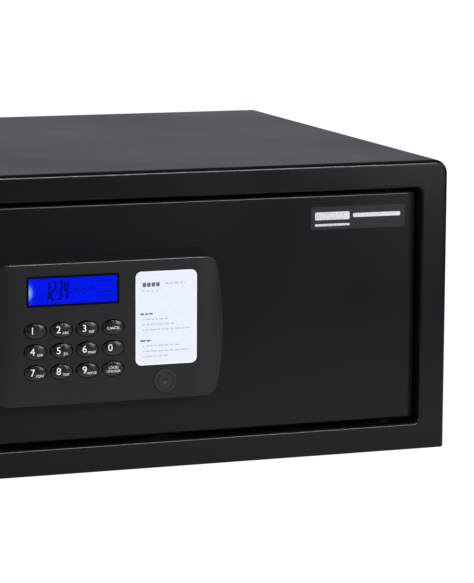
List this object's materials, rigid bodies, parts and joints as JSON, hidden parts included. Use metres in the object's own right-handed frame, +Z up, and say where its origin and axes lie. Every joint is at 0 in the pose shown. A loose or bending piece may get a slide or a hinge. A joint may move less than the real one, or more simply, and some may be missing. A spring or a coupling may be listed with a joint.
{
  "type": "in room safe",
  "caption": "Compact steel in-room safe with a recessed side-hinged door, raised electronic keypad with a backlit display, and motor-driven bolts.",
  "frame": {"origin": "centre of the base's underside", "axes": "+X to the hinge side, +Y from the door to the back, +Z up"},
  "size_m": [0.432, 0.3836, 0.2],
  "materials": {
    "body_paint": "fine textured charcoal powder coat",
    "pad_plastic": "matte moulded",
    "key_plastic": "glossy domed",
    "display_pane": "backlit blue pane",
    "display_module": "moulded",
    "label_film": "satin printed film",
    "badge_metal": "satin",
    "rubber": "matte",
    "felt": "needle felt",
    "nylon": "moulded, black",
    "zinc_steel": "zinc plated",
    "pin_steel": "blackened",
    "chrome": "polished",
    "brass": "machined",
    "circuit_board": "solder mask",
    "motor_metal": "plated",
    "switch_plastic": "moulded",
    "cover_plastic": "grained",
    "cell_wrap": "plain printed film",
    "cable_grey": "satin"
  },
  "bodies": {
    "body": {"body_wrapper": "body_paint", "base_plate": "body_paint", "rear_panel": "body_paint", "front_frame": "body_paint", "hinge_bushes": "nylon", "door_stops": "body_paint", "stop_pads": "rubber", "floor_mat": "felt"},
    "door": {"door_plate": "body_paint", "hinge_bracket_lower": "zinc_steel", "hinge_bracket_upper": "zinc_steel", "hinge_pins": "pin_steel", "door_badge": "badge_metal", "keypad_housing": "pad_plastic", "lcd_window": "display_pane", "lcd_module": "display_module", "instruction_label": "label_film", "key_mat": "rubber", "keypad_board": "circuit_board", "housing_screws": "zinc_steel", "override_cylinder": "brass", "cylinder_nut": "brass", "lock_chassis": "zinc_steel", "guide_studs": "pin_steel", "motor_bracket": "zinc_steel", "gear_motor": "motor_metal", "bolt_microswitch": "switch_plastic", "mechanism_cover": "cover_plastic", "cover_standoffs": "pin_steel", "cover_screws": "zinc_steel", "battery_holder": "switch_plastic", "battery_cells": "cell_wrap", "control_board": "circuit_board", "board_components": "switch_plastic", "board_standoffs": "nylon", "ribbon_cable": "cable_grey"},
    "carriage": {"bolt_carriage": "zinc_steel", "locking_bolts": "chrome", "bolt_screws": "pin_steel", "bolt_rack": "nylon"},
    "pinion": {"drive_pinion": "brass", "motor_shaft": "pin_steel"},
    "override": {"override_plug": "brass", "override_cam": "zinc_steel", "cam_screw": "zinc_steel"},
    "cap": {"override_cap": "pad_plastic"},
    "battery_lid": {"battery_cover": "cover_plastic"},
    "key_1": {"key_1": "key_plastic"},
    "key_2": {"key_2": "key_plastic"},
    "key_3": {"key_3": "key_plastic"},
    "key_cancel": {"key_cancel": "key_plastic"},
    "key_4": {"key_4": "key_plastic"},
    "key_5": {"key_5": "key_plastic"},
    "key_6": {"key_6": "key_plastic"},
    "key_0": {"key_0": "key_plastic"},
    "key_7": {"key_7": "key_plastic"},
    "key_8": {"key_8": "key_plastic"},
    "key_9": {"key_9": "key_plastic"},
    "key_lock": {"key_lock": "key_plastic"}
  },
  "joints": [
    {"name": "door_hinge", "type": "hinge", "parent": "body", "child": "door", "pos_m": [0.176, -0.17, 0.1], "axis": [0, 0, 1], "range_deg": [0, 100]},
    {"name": "bolt_throw", "type": "slide", "parent": "door", "child": "carriage", "axis": [-1, 0, 0], "range_m": [0, 0.018]},
    {"name": "pinion_turn", "type": "hinge", "parent": "door", "child": "pinion", "pos_m": [-0.092, -0.16, 0.092], "axis": [0, -1, 0], "range_deg": [0, 152]},
    {"name": "override_turn", "type": "hinge", "parent": "door", "child": "override", "pos_m": [0.0094, -0.165, 0.0616], "axis": [0, -1, 0], "range_deg": [-64, 0]},
    {"name": "cap_pull", "type": "slide", "parent": "door", "child": "cap", "axis": [0, -1, 0], "range_m": [0, 0.012]},
    {"name": "battery_lid_slide", "type": "slide", "parent": "door", "child": "battery_lid", "axis": [0, 0, -1], "range_m": [0, 0.012]},
    {"name": "key_1_press", "type": "slide", "parent": "door", "child": "key_1", "axis": [0, 1, 0], "range_m": [0, 0.001], "stiffness_N_per_m": 900},
    {"name": "key_2_press", "type": "slide", "parent": "door", "child": "key_2", "axis": [0, 1, 0], "range_m": [0, 0.001], "stiffness_N_per_m": 900},
    {"name": "key_3_press", "type": "slide", "parent": "door", "child": "key_3", "axis": [0, 1, 0], "range_m": [0, 0.001], "stiffness_N_per_m": 900},
    {"name": "key_cancel_press", "type": "slide", "parent": "door", "child": "key_cancel", "axis": [0, 1, 0], "range_m": [0, 0.001], "stiffness_N_per_m": 900},
    {"name": "key_4_press", "type": "slide", "parent": "door", "child": "key_4", "axis": [0, 1, 0], "range_m": [0, 0.001], "stiffness_N_per_m": 900},
    {"name": "key_5_press", "type": "slide", "parent": "door", "child": "key_5", "axis": [0, 1, 0], "range_m": [0, 0.001], "stiffness_N_per_m": 900},
    {"name": "key_6_press", "type": "slide", "parent": "door", "child": "key_6", "axis": [0, 1, 0], "range_m": [0, 0.001], "stiffness_N_per_m": 900},
    {"name": "key_0_press", "type": "slide", "parent": "door", "child": "key_0", "axis": [0, 1, 0], "range_m": [0, 0.001], "stiffness_N_per_m": 900},
    {"name": "key_7_press", "type": "slide", "parent": "door", "child": "key_7", "axis": [0, 1, 0], "range_m": [0, 0.001], "stiffness_N_per_m": 900},
    {"name": "key_8_press", "type": "slide", "parent": "door", "child": "key_8", "axis": [0, 1, 0], "range_m": [0, 0.001], "stiffness_N_per_m": 900},
    {"name": "key_9_press", "type": "slide", "parent": "door", "child": "key_9", "axis": [0, 1, 0], "range_m": [0, 0.001], "stiffness_N_per_m": 900},
    {"name": "key_lock_press", "type": "slide", "parent": "door", "child": "key_lock", "axis": [0, 1, 0], "range_m": [0, 0.001], "stiffness_N_per_m": 900}
  ],
  "couplings": [
    {"joint": "pinion_turn", "follows": "bolt_throw", "rad_per_m": 142.86}
  ]
}
